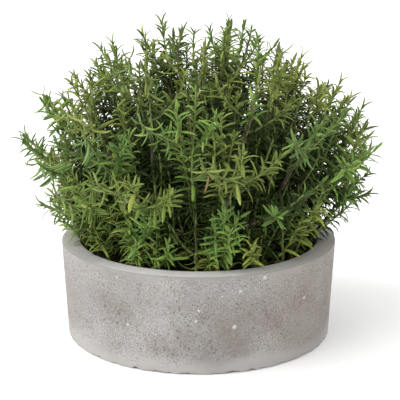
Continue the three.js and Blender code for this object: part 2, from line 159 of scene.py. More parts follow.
def smoothstep(low, high, values):
    share = np.clip((values - low) / (high - low), 0, 1)
    return share * share * (3 - 2 * share)


HASH_STEPS = np.array([127.1, 311.7, 74.7])
HASH_SEED_STEP, HASH_SCALE = 53.3, 43758.5453


def hashed(cells, seed):
    """A repeatable number from 0 to 1 for each row of three whole numbers."""
    mixed = np.sin(cells @ HASH_STEPS + seed * HASH_SEED_STEP) * HASH_SCALE
    return mixed - np.floor(mixed)


def lumps(points, size, seed):
    """Smooth noise from -1 to 1, with lumps about as large as size."""
    place = points / size
    corner = np.floor(place)
    share = place - corner
    share = share * share * (3 - 2 * share)
    total = np.zeros(len(points))
    for offset in itertools.product((0, 1), repeat=3):
        weight = np.prod(np.where(np.array(offset) == 1, share, 1 - share), axis=-1)
        total += weight * hashed(corner + offset, seed)
    return 2 * total - 1


def polar(radius, azimuth, height):
    return np.array([radius * math.cos(azimuth), radius * math.sin(azimuth), height])


def soil_height(radius):
    return SOIL_TOP - SOIL_CROWN * (radius / HOLLOW_RADIUS) ** 2


def in_cell(share):
    """Where a share of a cell of the map lies in it, clear of its edges."""
    return CELL_EDGE + (1 - 2 * CELL_EDGE) * share


# ---- Meshes


class Skin:
    """Points, and faces with the places of their corners on the map, collected for one mesh."""

    def __init__(self):
        self.points = []
        self.faces = []
        self.places = []
        self.count = 0

    def add(self, points, faces, places=None):
        """faces is an array of rows of corners, and places has a pair of numbers for each."""
        if points is not None:
            self.base = self.count
            self.points.append(points.reshape(-1, 3))
            self.count += len(self.points[-1])
        self.faces.append(np.asarray(faces) + self.base)
        if places is not None:
            self.places.append(np.asarray(places, float).reshape(-1, 2))

    def mesh(self, name):
        points = np.concatenate(self.points).astype(np.float32)
        corners = np.concatenate([faces.ravel() for faces in self.faces]).astype(np.int32)
        sizes = np.concatenate([np.full(len(faces), faces.shape[1]) for faces in self.faces])
        starts = np.concatenate([[0], np.cumsum(sizes)[:-1]]).astype(np.int32)
        mesh = bpy.data.meshes.new(name)
        mesh.vertices.add(len(points))
        mesh.vertices.foreach_set("co", points.ravel())
        mesh.loops.add(len(corners))
        mesh.loops.foreach_set("vertex_index", corners)
        mesh.polygons.add(len(starts))
        mesh.polygons.foreach_set("loop_start", starts)
        mesh.update(calc_edges=True)
        if self.places:
            layer = mesh.uv_layers.new(name=MAP_NAME)
            layer.data.foreach_set("uv", np.concatenate(self.places).astype(np.float32).ravel())
        mesh.shade_smooth()
        return mesh


def walls_between(rings, sides):
    """The faces of a tube of so many rings, each with so many points."""
    low = np.arange(rings - 1)[:, None] * sides
    high = low + sides
    here = np.arange(sides)
    after = (here + 1) % sides
    return np.stack([low + here, low + after, high + after, high + here], -1).reshape(-1, 4)


def add_object(name, data):
    added = bpy.data.objects.new(name, data)
    bpy.context.scene.collection.objects.link(added)
    return added


def add_piece(name, mesh, material, slot, *replaced):
    piece = add_object(name, mesh)
    mesh.materials.clear()
    mesh.materials.append(material)
    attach(piece, "root")
    if replaced:
        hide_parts(*replaced)


def merged(node):
    """A node's mesh with the points that its faces share joined."""
    shape = bmesh.new()
    shape.from_mesh(node.data)
    bmesh.ops.remove_doubles(shape, verts=shape.verts, dist=MERGE)
    shape.verts.ensure_lookup_table()
    return shape


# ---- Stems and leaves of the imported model


class Line:
    """A smooth line through points, measured in metres from its start."""

    FINENESS = 12  # how many points it has for each one that it is given

    def __init__(self, points):
        points = np.asarray(points, float)
        knots = np.concatenate([[0], np.cumsum(np.linalg.norm(np.diff(points, axis=0), axis=1))])
        slopes = np.gradient(points, knots, axis=0)
        dense = np.linspace(0, knots[-1], self.FINENESS * len(points))
        index = np.clip(np.searchsorted(knots, dense, side="right") - 1, 0, len(knots) - 2)
        gap = (knots[index + 1] - knots[index])[:, None]
        share = (dense - knots[index])[:, None] / gap
        square, cube = share**2, share**3
        self.points = (
            (2 * cube - 3 * square + 1) * points[index]
            + (cube - 2 * square + share) * gap * slopes[index]
            + (3 * square - 2 * cube) * points[index + 1]
            + (cube - square) * gap * slopes[index + 1]
        )
        steps = np.linalg.norm(np.diff(self.points, axis=0), axis=1)
        self.reach = np.concatenate([[0], np.cumsum(steps)])
        self.length = self.reach[-1]

    def at(self, heights):
        return np.stack([np.interp(heights, self.reach, axis) for axis in self.points.T], -1)

    def along(self, heights):
        return unit(self.at(np.add(heights, 0.001)) - self.at(np.subtract(heights, 0.001)))

    def frames(self, heights, out):
        """The centres at some heights, and three directions at each: along the line, and two
        across it that don't turn about it, the first of them near to out."""
        alongs = self.along(heights)
        outs = np.empty_like(alongs)
        for index, along in enumerate(alongs):
            out = unit(out - along * (out @ along))
            outs[index] = out
        return self.at(heights), alongs, outs, np.cross(alongs, outs)

    def height_of(self, point):
        return self.reach[np.argmin(np.linalg.norm(self.points - point, axis=1))]

    def distance_to(self, point):
        return np.linalg.norm(self.points - point, axis=1).min()


def find_leaf_tips(shape):
    """The points at the tips of leaves, each with the other point of its tip. Only there is a
    short edge the one short edge of both its ends."""
    tips = {}
    for edge in shape.edges:
        if edge.calc_length() < RING_EDGE:
            ends = edge.verts
            if all(sum(e.calc_length() < RING_EDGE for e in end.link_edges) == 1 for end in ends):
                tips[ends[0].index] = ends[1].index
                tips[ends[1].index] = ends[0].index
    return tips


def read_leaves(shape, leaf_tips):
    """The leaves, each a foot, a tip and the direction across it."""
    leaves = []
    for one, other in leaf_tips.items():
        if one < other:
            pair = (shape.verts[one], shape.verts[other])
            around = {edge.other_vert(end).index for end in pair for edge in end.link_edges}
            foot = np.mean([shape.verts[i].co for i in around if i not in leaf_tips], axis=0)
            ends = np.array([end.co for end in pair])
            leaves.append((foot, ends.mean(axis=0), ends[1] - ends[0]))
    return leaves


def rings_of(shape, leaf_tips):
    """A ring's number for each point of the stems: short edges join the points of a ring."""
    ring = {point.index: point.index for point in shape.verts if point.index not in leaf_tips}

    def root(index):
        while ring[index] != index:
            index = ring[index]
        return index

    for edge in shape.edges:
        one, other = (point.index for point in edge.verts)
        if one in ring and other in ring and edge.calc_length() < RING_EDGE:
            ring[root(one)] = root(other)
    return {index: root(index) for index in ring}


def read_stems(shape, leaf_tips):
    """The stems, each a list of points. The first starts at an end of the piece, which is its
    foot or the tip of a shoot, and the others branch off it."""
    ring = rings_of(shape, leaf_tips)
    members = {}
    for index, key in ring.items():
        members.setdefault(key, []).append(np.array(shape.verts[index].co))
    centres = {key: np.mean(points, axis=0) for key, points in members.items()}
    links = {key: set() for key in members}
    for edge in shape.edges:
        one, other = (ring.get(point.index) for point in edge.verts)
        if one is not None and other is not None and one != other:
            links[one].add(other)
            links[other].add(one)

    start = next(key for key in sorted(links) if len(links[key]) == 1 and len(members[key]) > 2)
    stems = []
    unread = [(start, None, [])]
    while unread:
        here, before, line = unread.pop(0)
        while here is not None:
            line.append(here)
            onward = sorted(links[here] - {before})
            heading = centres[here] - centres[before] if before is not None else UP
            onward.sort(key=lambda key: -float(unit(centres[key] - centres[here]) @ unit(heading)))
            unread += [(key, here, [here]) for key in onward[1:]]
            before, here = here, (onward[0] if onward else None)
        stems.append([centres[key] for key in line])
    return stems


def read_spray(node):
    """The lines of a leafy piece's stems, and its leaves."""
    shape = merged(node)
    leaf_tips = find_leaf_tips(shape)
    leaves = read_leaves(shape, leaf_tips)
    lines = [Line(points) for points in read_stems(shape, leaf_tips)]
    shape.free()
    return lines, leaves


# ---- Growing


class Blade:
    """One cut of leaf: a section that is carried along it, wide and narrow at its stations."""

    def __init__(self, stations, widths, section, around):
        """All are shares: stations of the length, widths and section of the full width, and
        around says how far round the section each of its corners is."""
        self.stations, self.widths, self.section = stations, widths, np.array(section)
        sides, last = len(section), len(stations) - 1
        quads, quad_places, ends, end_places = [], [], [], []
        for side in range(sides):
            after = (side + 1) % sides
            left, right = around[side], around[side + 1]
            for base, low, high in zip(range(0, last * sides, sides), stations, stations[1:]):
                quads.append([base + side, base + sides + side, base + sides + after, base + after])
                quad_places.append([(left, low), (left, high), (right, high), (right, low)])
            ends.append([last * sides + side, (last + 1) * sides, last * sides + after])
            end_places.append([(left, stations[-1]), ((left + right) / 2, 1), (right, stations[-1])])
        foot = [(place, FOOT_PLACE * (place > 0.5)) for place in around[:-1]]
        self.faces = [
            (np.array(quads), np.array(quad_places)),
            (np.array(ends), np.array(end_places)),
            (np.arange(sides)[None], np.array([foot])),
        ]

    def points(self, foot, tip, across, width, arch):
        """The points of arched blades: a section at each station, and the tip."""
        chord = tip - foot
        heading = unit(chord)
        across = unit(across - heading * dot(across, heading))
        lift = np.cross(chord, across) * arch
        rings = []
        for station, share in zip(self.stations, self.widths):
            centre = foot + chord * station + lift * 4 * station * (1 - station)
            normal = np.cross(unit(chord + lift * 4 * (1 - 2 * station)), across)
            for x, z in self.section * share:
                rings.append(centre + (across * x + normal * z) * width)
        return np.stack([*rings, tip], axis=1)

    def add_to(self, skin, leaves, crown):
        """Adds the leaves, one a row, to a skin, without those that would enter the pot."""
        lift_over_wall(leaves[:, 3:6])
        middle = (leaves[:, 0:3] + leaves[:, 3:6]) / 2
        free = is_clear_of_pot(leaves[:, 3:6]) & is_clear_of_pot(middle)
        leaves, middle = leaves[free], middle[free]
        foot, tip, across = leaves[:, 0:3], leaves[:, 3:6], leaves[:, 6:9]
        width, arch, column, row = leaves[:, 9:].T[:, :, None]
        # Painted shade: leaves deep in the crown and near the hollows move to darker rows of the map
        row = np.maximum(0, row - np.round(PAINTED_SHADE * STEM_ROW * crown.shade(middle))[:, None])
        points = self.points(foot, tip, across, width, arch)
        first = (np.arange(len(points)) * points.shape[1])[:, None, None]
        for faces, places in self.faces:
            inside = in_cell(places[None])
            u = (column[:, :, None] + inside[..., 0]) / COLUMNS
            v = (row[:, :, None] + inside[..., 1]) / ROWS
            skin.add(points, (first + faces).reshape(-1, faces.shape[1]), np.stack([u, v], -1))
            points = None


FULL_BLADE = Blade(
    stations=[0.0, 0.12, 0.35, 0.65, 0.88],
    widths=[0.45, 0.8, 1.0, 0.9, 0.58],
    section=[(-0.5, -0.12), (-0.28, 0.15), (0, 0.04), (0.28, 0.15), (0.5, -0.12), (0, -0.2)],
    around=[0, 0.125, 0.25, 0.375, 0.5, 0.75, 1],
)
SMALL_BLADE = Blade(
    stations=[0.0, 0.4, 0.8],
    widths=[0.5, 1.0, 0.7],
    section=[(-0.5, -0.1), (0, 0.1), (0.5, -0.1), (0, -0.2)],
    around=[0, 0.25, 0.5, 0.75, 1],
)


class Crown:
    """The whole head of foliage, as wide in each direction as the ends of the lines near it."""

    def __init__(self, ends):
        self.lengths = np.linalg.norm(ends - CROWN_CENTRE, axis=1)
        self.headings = unit(ends - CROWN_CENTRE)

    def reach(self, headings):
        nearness = np.exp(NEARNESS * (headings @ self.headings.T - 1))
        return nearness @ self.lengths / nearness.sum(axis=-1)

    def depth(self, points):
        """How far in points lie, from 0 between those ends to 1 at the centre."""
        arms = points - CROWN_CENTRE
        return 1 - np.linalg.norm(arms, axis=1) / self.reach(unit(arms))

    def shade(self, points):
        """How much painted shade leaves get at points, from 0 to 1: deep in the crown and in the
        hollows it is 1.
        """
        shade = smoothstep(LIT_DEPTH, DARK_DEPTH, self.depth(points))
        shade *= 1 - TOP_LIGHTENING * smoothstep(*TOP_HEIGHTS, points[:, 2])
        for *place, size in GAPS:
            from_gap = np.linalg.norm(points - place, axis=1) / size
            shade = np.maximum(shade, smoothstep(*GAP_FADE, from_gap))
        return shade


class Foliage:
    """Stems and leaves, collected for one mesh."""

    def __init__(self, seed, crown):
        self.random = np.random.default_rng(seed)
        self.crown = crown
        self.leaf_length, self.leaf_width = LEAF_LENGTH, LEAF_WIDTH  # on the stem that grows
        self.skin = Skin()
        self.leaves = {FULL_BLADE: [], SMALL_BLADE: []}

    def add_leaf(self, blade, foot, tip, across, width, arch, cell):
        self.leaves[blade].append(np.concatenate([foot, tip, across, [width, arch], cell]))

    def add_stem(self, line, low_radius, high_radius, low_age, high_age):
        """A tube with a pointed end. Its ages, from 0 for wood to 1 for green, are places in the
        map's stem row."""
        count = max(3, round(line.length / STEM_STEP))
        centres, alongs, outs, sides = line.frames(np.linspace(0, line.length, count + 1), ANY_SIDE)
        radii = np.linspace(low_radius, high_radius, count + 1)[:, None, None]
        here = np.arange(STEM_SIDES)
        angles = (here * math.tau / STEM_SIDES)[:, None]
        around = np.cos(angles) * outs[:, None] + np.sin(angles) * sides[:, None]
        rings = centres[:, None] + radii * around
        end = centres[-1] + alongs[-1] * high_radius
        turn = in_cell(np.arange(STEM_SIDES + 1) / STEM_SIDES)
        height = (STEM_ROW + in_cell(np.linspace(low_age, high_age, count + 1))) / ROWS
        corners = (turn[:-1], turn[1:], height[:-1, None], height[1:, None])
        left, right, bottom, top = np.broadcast_arrays(*corners)
        places = np.stack([left, bottom, right, bottom, right, top, left, top], -1)
        self.skin.add(np.concatenate([*rings, [end]]), walls_between(count + 1, STEM_SIDES), places)

        last = count * STEM_SIDES
        after = (here + 1) % STEM_SIDES
        point = np.stack([last + here, last + after, np.full(STEM_SIDES, last + STEM_SIDES)], -1)
        top = np.full(STEM_SIDES, height[-1])
        under = top - STEM_END_PLACE
        middle = (turn[:-1] + turn[1:]) / 2
        self.skin.add(None, point, np.stack([turn[:-1], under, turn[1:], under, middle, top], -1))
        angle = turn[:-1] * math.tau
        across, up = 0.5 + 0.4 * np.cos(angle), height[0] + STEM_END_PLACE * (1 + np.sin(angle))
        self.skin.add(None, here[::-1][None], np.stack([across, up], -1)[::-1])

    def grow(self, line, leafy_from, towards, age, tone, blade, kept=(), gaps=None, last=None):
        """A stem along a line, with crosswise pairs of leaves from a height up. Kept leaves stay
        where they are, in the place of those that would grow there."""
        random = self.random
        highness = smoothstep(*LEAF_SIZE_HEIGHTS, line.points[-1, 2])
        size = LOW_LEAF_SIZE * (1 - (1 - HIGH_LEAF_SIZE) * highness)
        self.leaf_length, self.leaf_width = LEAF_LENGTH * size, LEAF_WIDTH * size
        if age > 0:
            self.add_stem(line, STEM_RADIUS, STEM_TIP_RADIUS, age, 1.0)
        else:
            self.add_stem(line, WOODY_RADIUS, STEM_TIP_RADIUS, age, 0.5)
        last = line.length - TIP_GAP if last is None else last
        gaps = max(2, round((last - leafy_from) / INTERNODE)) if gaps is None else gaps
        step = (last - leafy_from) / gaps
        heights = np.linspace(leafy_from, last, gaps + 1)
        frames = list(zip(*line.frames(heights, np.asarray(towards, float))))
        kept_at = {}
        for foot, tip, across in kept:
            node = int(np.clip(round((line.height_of(foot) - leafy_from) / step), 0, gaps))
            centre, along, ahead, side = frames[node]
            axis = side if node % 2 else ahead
            kept_at[node, bool((tip - foot) @ axis < 0)] = (foot, tip, across)
        for node, (centre, along, ahead, side) in enumerate(frames):
            share = node / gaps
            twist = random.normal(0, PAIR_TWIST) + (math.pi / 2 if node % 2 else 0)
            axis = swing(ahead, side, twist)
            for is_back in (False, True):
                facing = -axis if is_back else axis
                if (node, is_back) in kept_at:
                    self.keep_leaf(*kept_at[node, is_back], centre, along, share, tone)
                else:
                    self.grow_leaf(centre, along, facing, share, tone, blade)
                if random.random() < TUFT_SHARE * (1 - share):
                    self.grow_tuft(centre, along, facing, share, tone)
        self.grow_bud(line, *frames[-1][1:], tone)

    def cell_of(self, share, tone):
        """The map's cell, a column and a row, for a leaf at a share of its stem's height. The
        stem's tone is a hue and a brightness, each from 0 to 1."""
        random = self.random
        hue, brightness = tone
        if random.random() < DRY_SHARE * (1 - share):
            return DRY_COLUMN, random.integers(0, STEM_ROW)
        column = round(hue * (DRY_COLUMN - 1) + random.normal(0, HUE_SCATTER))
        row = round(brightness * (STEM_ROW - 1) + random.normal(0, BRIGHTNESS_SCATTER))
        return min(max(column, 0), DRY_COLUMN - 1), min(max(row, 0), STEM_ROW - 1)

    def keep_leaf(self, foot, tip, across, centre, along, share, tone):
        side = np.cross(along, tip - foot)
        across = across if across @ side > 0 else -across
        width = self.leaf_width * self.random.uniform(0.75, 1.05)
        arch = self.random.uniform(0.08, 0.18)
        cell = self.cell_of(share, tone)
        self.add_leaf(FULL_BLADE, (foot + centre) / 2, tip, across, width, arch, cell)

    def grow_leaf(self, centre, along, facing, share, tone, blade):
        random = self.random
        spread = LOW_SPREAD + (TOP_SPREAD - LOW_SPREAD) * share**2.5 + random.normal(0, 0.16)
        heading = swing(along, facing, spread)
        length = self.leaf_length * (1 - 0.3 * share**2) * random.uniform(0.7, 1.12)
        droop = random.uniform(-0.05, 0.3) * (1 - share)
        across = np.cross(along, facing)
        across = swing(across, np.cross(heading, across), random.normal(0, 0.3))
        width = self.leaf_width * (1 - 0.15 * share**2) * random.uniform(0.65, 1.1)
        column, row = self.cell_of(share, tone)
        if random.random() < BROAD_SHARE and share < 0.85:
            width *= 1.4
            length = self.leaf_length * random.uniform(0.95, 1.25)
            droop += random.uniform(0.0, 0.6) * (1 - share)
            row = min(row + 2, STEM_ROW - 1)
        foot = centre + facing * STEM_TIP_RADIUS * 0.4
        tip = centre + unit(heading - droop * UP) * length
        arch = random.uniform(0.07, 0.2)
        self.add_leaf(blade, foot, tip, across, width, arch, (column, row))

    def grow_small_leaf(self, foot, along, aim, spreads, lengths, width, share, tone, darker=0):
        """A small leaf that leans from the stem towards aim. Its length and width are shares of
        a full leaf's, and it may be some rows of the map darker than the rest."""
        heading = swing(along, aim, self.random.uniform(*spreads))
        tip = foot + heading * self.leaf_length * self.random.uniform(*lengths)
        column, row = self.cell_of(share, tone)
        cell = (column, max(0, row - darker))
        width *= self.leaf_width
        self.add_leaf(SMALL_BLADE, foot, tip, np.cross(along, aim), width, 0.1, cell)

    def grow_tuft(self, centre, along, facing, share, tone):
        """Small leaves in the corner between a leaf and the stem."""
        foot = centre + along * 0.0012
        for _ in range(2):
            aim = swing(facing, np.cross(along, facing), self.random.normal(0, 0.5))
            share_up = min(1, share + 0.3)
            self.grow_small_leaf(foot, along, aim, (0.3, 0.95), (0.3, 0.62), 0.65, share_up, tone)

    def grow_bud(self, line, along, ahead, side, tone):
        """The young leaves at the end of a stem."""
        foot = line.at(line.length - 0.5 * TIP_GAP)
        start = self.random.uniform(0, math.pi)
        for angle in (start, start + math.pi):
            aim = swing(ahead, side, angle)
            self.grow_small_leaf(foot, along, aim, (0.35, 0.9), (0.3, 0.6), 0.7, 1.0, tone, darker=2)

    def mesh(self, name):
        """The mesh of all the stems, and of the leaves that are clear of the pot and the soil."""
        for blade, leaves in self.leaves.items():
            if leaves:
                blade.add_to(self.skin, np.array(leaves), self.crown)
        return self.skin.mesh(name)


def is_over_wall(points, margin):
    """Which points, seen from above, lie on the wall or past its edge by less than a margin."""
    radius = radius_of(points)
    return (radius > HOLLOW_RADIUS - CLEARANCE) & (radius < RIM_RADIUS + margin)


def lift_over_wall(tips):
    """Raises the tips of leaves that would enter the top of the wall, to lie on it."""
    height = tips[:, 2]
    low = (height > POT_HEIGHT - LIFT) & (height < LIFTED_HEIGHT)
    height[low & is_over_wall(tips, 2 * CLEARANCE)] = LIFTED_HEIGHT


def is_clear_of_pot(points):
    radius, height = radius_of(points), points[:, 2]
    in_wall = is_over_wall(points, CLEARANCE) & (height < POT_HEIGHT + CLEARANCE)
    in_soil = (radius <= HOLLOW_RADIUS) & (height < soil_height(radius) + CLEARANCE)
    return ~(in_wall | in_soil)


# ---- Layout of the foliage

SPRAYS = sorted(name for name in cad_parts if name.startswith(("sprig_", "low_shoot_")))
WOOD = sorted(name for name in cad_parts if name.startswith("woody_plant_"))
CURVE_POINTS = 9
CURVE_REACH = 0.38  # how far a curve keeps its first and last directions, as a share of its span
SPRAY_AGE = 0.68  # where the leafy pieces' lines start, from 0 for wood to 1 for green


def curve(foot, set_out, tip, arrive):
    """A line from a foot to a tip, with its first and last directions."""
    reach = CURVE_REACH * np.linalg.norm(tip - foot)
    share = np.linspace(0, 1, CURVE_POINTS)[:, None]
    rest = 1 - share
    return Line(
        rest**3 * foot
        + 3 * rest**2 * share * (foot + set_out * reach)
        + 3 * rest * share**2 * (tip - arrive * reach)
        + share**3 * tip
    )


def crosses_gap(line):
    return any(line.distance_to(place) < size for *place, size in GAPS)


def sector(point, count):
    """Which of so many sectors round the middle a point lies in."""
    return int(math.atan2(point[1], point[0]) / math.tau % 1 * count)


def add_parts(name, parts, material):
    for number, part in enumerate(parts, 1):
        add_piece(f"{name}_{number}", part.mesh(name), material, "leaf")


def dress_spray(name, seed, lines, leaves, crown, material):
    """Replaces a leafy piece, from its stems' lines and its leaves."""
    foliage = Foliage(seed, crown)
    tone = foliage.random.uniform((0.05, 0.35), (0.8, 0.8))
    own = [[] for _ in lines]
    for leaf in leaves:
        nearest = min(range(len(lines)), key=lambda k: lines[k].distance_to(leaf[0]))
        own[nearest].append(leaf)
    for line, kept in zip(lines, own):
        heights = [line.height_of(foot) for foot, _, _ in kept]
        low, high = min(heights), max(heights)
        gaps = KEPT_GAPS * max(1, round((high - low) / KEPT_STEP))
        foot, tip, _ = kept[int(np.argmin(heights))]
        foliage.grow(line, low, tip - foot, SPRAY_AGE, tone, FULL_BLADE, kept, gaps, high)
    add_piece(f"fine_{name}", foliage.mesh(name), material, "leaf", name)


CROWN_SHOOTS = 640
CROWN_PIECES = 16
GOLDEN_ANGLE = math.pi * (3 - math.sqrt(5))
LOWEST_RISE = 0.02  # sine of the lowest shoots' angle to the ground
SPARSE_ABOVE = 0.66  # sine of the angle above which every second shoot is left out
DEEPEST = 0.45  # how far in from the tips the hidden shoots end, as a share of the crown
PROUD = 0.03  # how far past the tips the outermost ones end
FULL_LEAF_DEPTH = 0.1  # shoots deeper than this have small leaves
GAP_DEPTH = 0.3  # and shoots deeper than this may cross the hollows
RIGHT_RIM = (0.11, 0.185)  # farther to the side than this, and lower, no shoots end
LEFT_RIM = (0.155, 0.16)
LEAFY_LENGTH = 0.09
LEAFLESS_LENGTH = 0.008  # at the foot of every shoot
GROWTH_LENGTH = 0.11  # of a shoot, from what bears it
GROWTH_RISE = 0.03  # least height of a shoot's tip over its foot
GROWTH_UP_TO = 0.6  # share of a stem that bears other stems
OUTWARD, UPRIGHT = 0.8, 1.2  # parts of the last direction of a shoot
UPWARD_START = 0.4  # part of its first direction
BARE_EVERY = 4  # how often a shoot whose tip is high is woody, and bare up to near its tip
BARE_ABOVE = 0.32
BARE_LEAFY = 0.3  # share of the leafy length that it has


def fill_crown(lines, wood, crown, material):
    """Shoots that grow from the wood and the stems to places between the tips."""
    shares = np.linspace(0, GROWTH_UP_TO, 9)
    bearers = [point for line in lines for point in line.at(shares * line.length)] + wood
    tree = KDTree(len(bearers))
    for index, point in enumerate(bearers):
        tree.insert(point, index)
    tree.balance()
    parts = [Foliage(100 + k, crown) for k in range(CROWN_PIECES)]
    for index in range(CROWN_SHOOTS):
        rise = LOWEST_RISE + (1 - LOWEST_RISE) * (index + 0.5) / CROWN_SHOOTS
        if rise > SPARSE_ABOVE and index % 2:
            continue
        random = np.random.default_rng((7, index))
        heading = polar(math.sqrt(1 - rise**2), index * GOLDEN_ANGLE, rise)
        depth = DEEPEST * random.random() ** 1.4 - PROUD
        tip = CROWN_CENTRE + heading * crown.reach(heading) * (1 - depth)
        farthest, lowest = RIGHT_RIM if tip[0] > 0 else LEFT_RIM
        if abs(tip[0]) > farthest and tip[2] < lowest:
            continue
        arrive = unit(OUTWARD * heading + UPRIGHT * UP + random.normal(0, 0.12, 3))
        wanted = tip - arrive * GROWTH_LENGTH * random.uniform(0.7, 1.3)
        foot = np.array(tree.find(wanted)[0])
        if foot[2] > tip[2] - GROWTH_RISE:
            continue
        line = curve(foot, unit(unit(tip - foot) + UPWARD_START * UP), tip, arrive)
        if depth < GAP_DEPTH and crosses_gap(line):
            continue
        is_bare = index % BARE_EVERY == 0 and tip[2] > BARE_ABOVE
        leafy = LEAFY_LENGTH * (BARE_LEAFY if is_bare else random.uniform(0.8, 1.25))
        leafy_from = max(LEAFLESS_LENGTH, line.length - leafy)
        blade = FULL_BLADE if depth < FULL_LEAF_DEPTH else SMALL_BLADE
        tone = (random.uniform(0.1, 0.9), random.uniform(0.4, 0.9))
        age = 0.0 if is_bare else random.uniform(0.35, 0.7)
        part = parts[sector(tip, CROWN_PIECES)]
        part.grow(line, leafy_from, random.normal(0, 1, 3), age, tone, blade)
    add_parts("crown_shoots", parts, material)


EDGE_SHOOTS = 240
EDGE_FOOT_DEPTH = 0.004  # in the soil
EDGE_PIECES = 8
EDGE_REACH = 0.965  # share of the hollow's radius at which the outermost stand
OUTER_PLACE = 0.8  # share of that from which they are outer ones
# Between the clumps the inner shoots show, whose darker rows are painted shade
EDGE_CLUMPS = 21  # in which the outer shoots stand, with dark gaps between
CLUMP_SHARE = 0.55
SIDE_LEAN = 0.03  # how far they lean out at the left
SPILL_AZIMUTH = math.radians(205)  # where they hang over the rim
SPILL = 0.031


def fill_edge(crown, material):
    """Shoots that stand in the soil. Those nearest the wall are low and lean over it a little,
    most of all at the left."""
    parts = [Foliage(200 + k, crown) for k in range(EDGE_PIECES)]
    for index in range(EDGE_SHOOTS):
        random = np.random.default_rng((11, index))
        azimuth = index * GOLDEN_ANGLE
        place = random.uniform(0.1, 1.0) ** 0.75
        is_outer = place > OUTER_PLACE and azimuth / math.tau * EDGE_CLUMPS % 1 < CLUMP_SHARE
        if not is_outer:
            place = min(place, OUTER_PLACE)
        radius = EDGE_REACH * HOLLOW_RADIUS * place
        foot = polar(radius, azimuth, soil_height(radius) - EDGE_FOOT_DEPTH)
        spill = max(0.0, math.cos(azimuth - SPILL_AZIMUTH)) ** 3
        rise = (random.uniform(0.045, 0.12) + 0.16 * (1 - place)) * (1 - 0.3 * spill)
        leftness = min(0.0, math.cos(azimuth)) ** 2
        lean = random.uniform(0.0, 0.018) + SIDE_LEAN * leftness * random.random()
        if math.cos(azimuth) > 0.5:
            lean = 0.0
        lean += SPILL * spill * random.uniform(0.4, 1.0)
        tip = foot + polar(lean, azimuth + random.normal(0, 0.5 * (1 - spill)), rise)
        arrive = unit(UP + polar(1.0, azimuth, 0.0) * (random.uniform(0.0, 0.5) + 0.5 * spill))
        line = curve(foot, UP, tip, arrive)
        if crosses_gap(line):
            continue
        blade = FULL_BLADE if is_outer else SMALL_BLADE
        # Painted shade: the inner shoots take dark rows of the map, the outer ones light rows
        brightness = random.uniform(0.6, 1.0) if is_outer else random.uniform(0.05, 0.3)
        tone, age = (random.uniform(0.0, 0.6), brightness), random.uniform(0.4, 0.7)
        part = parts[sector(foot, EDGE_PIECES)]
        part.grow(line, LEAFLESS_LENGTH, random.normal(0, 1, 3), age, tone, blade)
    add_parts("edge_shoots", parts, material)


# ---- Wood

WOOD_VOXEL = 0.0013
RIDGE_STRETCH = np.array([1, 1, 0.3])  # which makes the ridges of the bark long and upright


def dress_wood(name, material):
    """Replaces a woody plant by a rounder one with rough bark."""
    shape = merged(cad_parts[name])
    mesh = bpy.data.meshes.new(name)
    shape.to_mesh(mesh)
    shape.free()
    rough = add_object("rough", mesh)
    even = rough.modifiers.new("even", "REMESH")
    even.mode = "VOXEL"
    even.voxel_size = WOOD_VOXEL
    soft = rough.modifiers.new("soft", "SMOOTH")
    soft.factor = 0.6
    soft.iterations = 5
    graph = bpy.context.evaluated_depsgraph_get()
    bark = bpy.data.meshes.new_from_object(rough.evaluated_get(graph))
    bpy.data.objects.remove(rough)
    points = np.array([point.co for point in bark.vertices])
    normals = np.array([point.normal for point in bark.vertices])
    ridges = 1 - np.abs(lumps(points * RIDGE_STRETCH, 0.0025, 3))
    height = 0.0004 * ridges + 0.0005 * lumps(points, 0.012, 4)
    points += normals * height[:, None]
    bark.vertices.foreach_set("co", points.astype(np.float32).ravel())
    bark.update()
    bark.shade_smooth()
    add_piece(f"fine_{name}", bark, material, "bark", name)


# ---- Pot

POT_TURNS = 640
UNDER_ROWS = 4
WALL_ROWS = 76
RIM_ROWS = 14
INNER_ROWS = 8
EDGE_ROWS = 5  # in each rounded edge
FOOT_BREAK = 0.0008
CHIP_DEPTH = 0.0009
PIT_COUNT = 420
PIT_REACH = 3  # rows and columns on each side of a pit's middle


def swept(outline, turns):
    """Rows of [outward, upward] numbers carried round the axis, as points or directions."""
    outward, upward = np.array(outline).T
    azimuths = np.arange(turns) * math.tau / turns
    x, y = (np.outer(outward, wave(azimuths)) for wave in (np.cos, np.sin))
    return np.stack([x, y, np.outer(upward, np.ones(turns))], -1)


def turned(points, turns):
    """A skin over rings of so many points round the axis, closed at both ends."""
    ring = np.arange(turns)[None]
    skin = Skin()
    skin.add(points, walls_between(len(points) // turns, turns))
    skin.add(None, ring[:, ::-1])
    skin.add(None, len(points) - turns + ring)
    return skin


def rounded(corner, start, end):
    """Points of a quarter round at a corner, from the side of one point to that of another."""
    corner, start, end = (np.array(value) for value in (corner, start, end))
    low = corner + unit(start - corner) * BEVEL
    high = corner + unit(end - corner) * BEVEL
    share = np.linspace(0, 1, EDGE_ROWS)[:, None]
    return (1 - share) ** 2 * low + 2 * share * (1 - share) * corner + share**2 * high


def between(start, end, steps):
    share = np.linspace(0, 1, steps + 1)[1:-1, None]
    return np.array(start) * (1 - share) + np.array(end) * share


def pot_outline():
    """[radius, height] points from under the base up the wall, over the rim and down inside."""
    seen = (HOLLOW_RADIUS, soil_height(HOLLOW_RADIUS) - 0.006)
    base, rim, lip = (BASE_RADIUS, 0.0), (RIM_RADIUS, POT_HEIGHT), (HOLLOW_RADIUS, POT_HEIGHT)
    corners = [(0.01, 0.0), base, rim, lip, seen]
    outline = [[corners[0]]]
    rows = (UNDER_ROWS, WALL_ROWS, RIM_ROWS)
    for before, corner, after, steps in zip(corners, corners[1:], corners[2:], rows):
        edge = rounded(corner, before, after)
        outline += [between(outline[-1][-1], edge[0], steps), edge]
    bottom, centre = (HOLLOW_RADIUS - 0.005, FLOOR_HEIGHT), (0.01, FLOOR_HEIGHT)
    outline += [between(outline[-1][-1], seen, INNER_ROWS), [seen, bottom, centre]]
    return np.concatenate(outline)


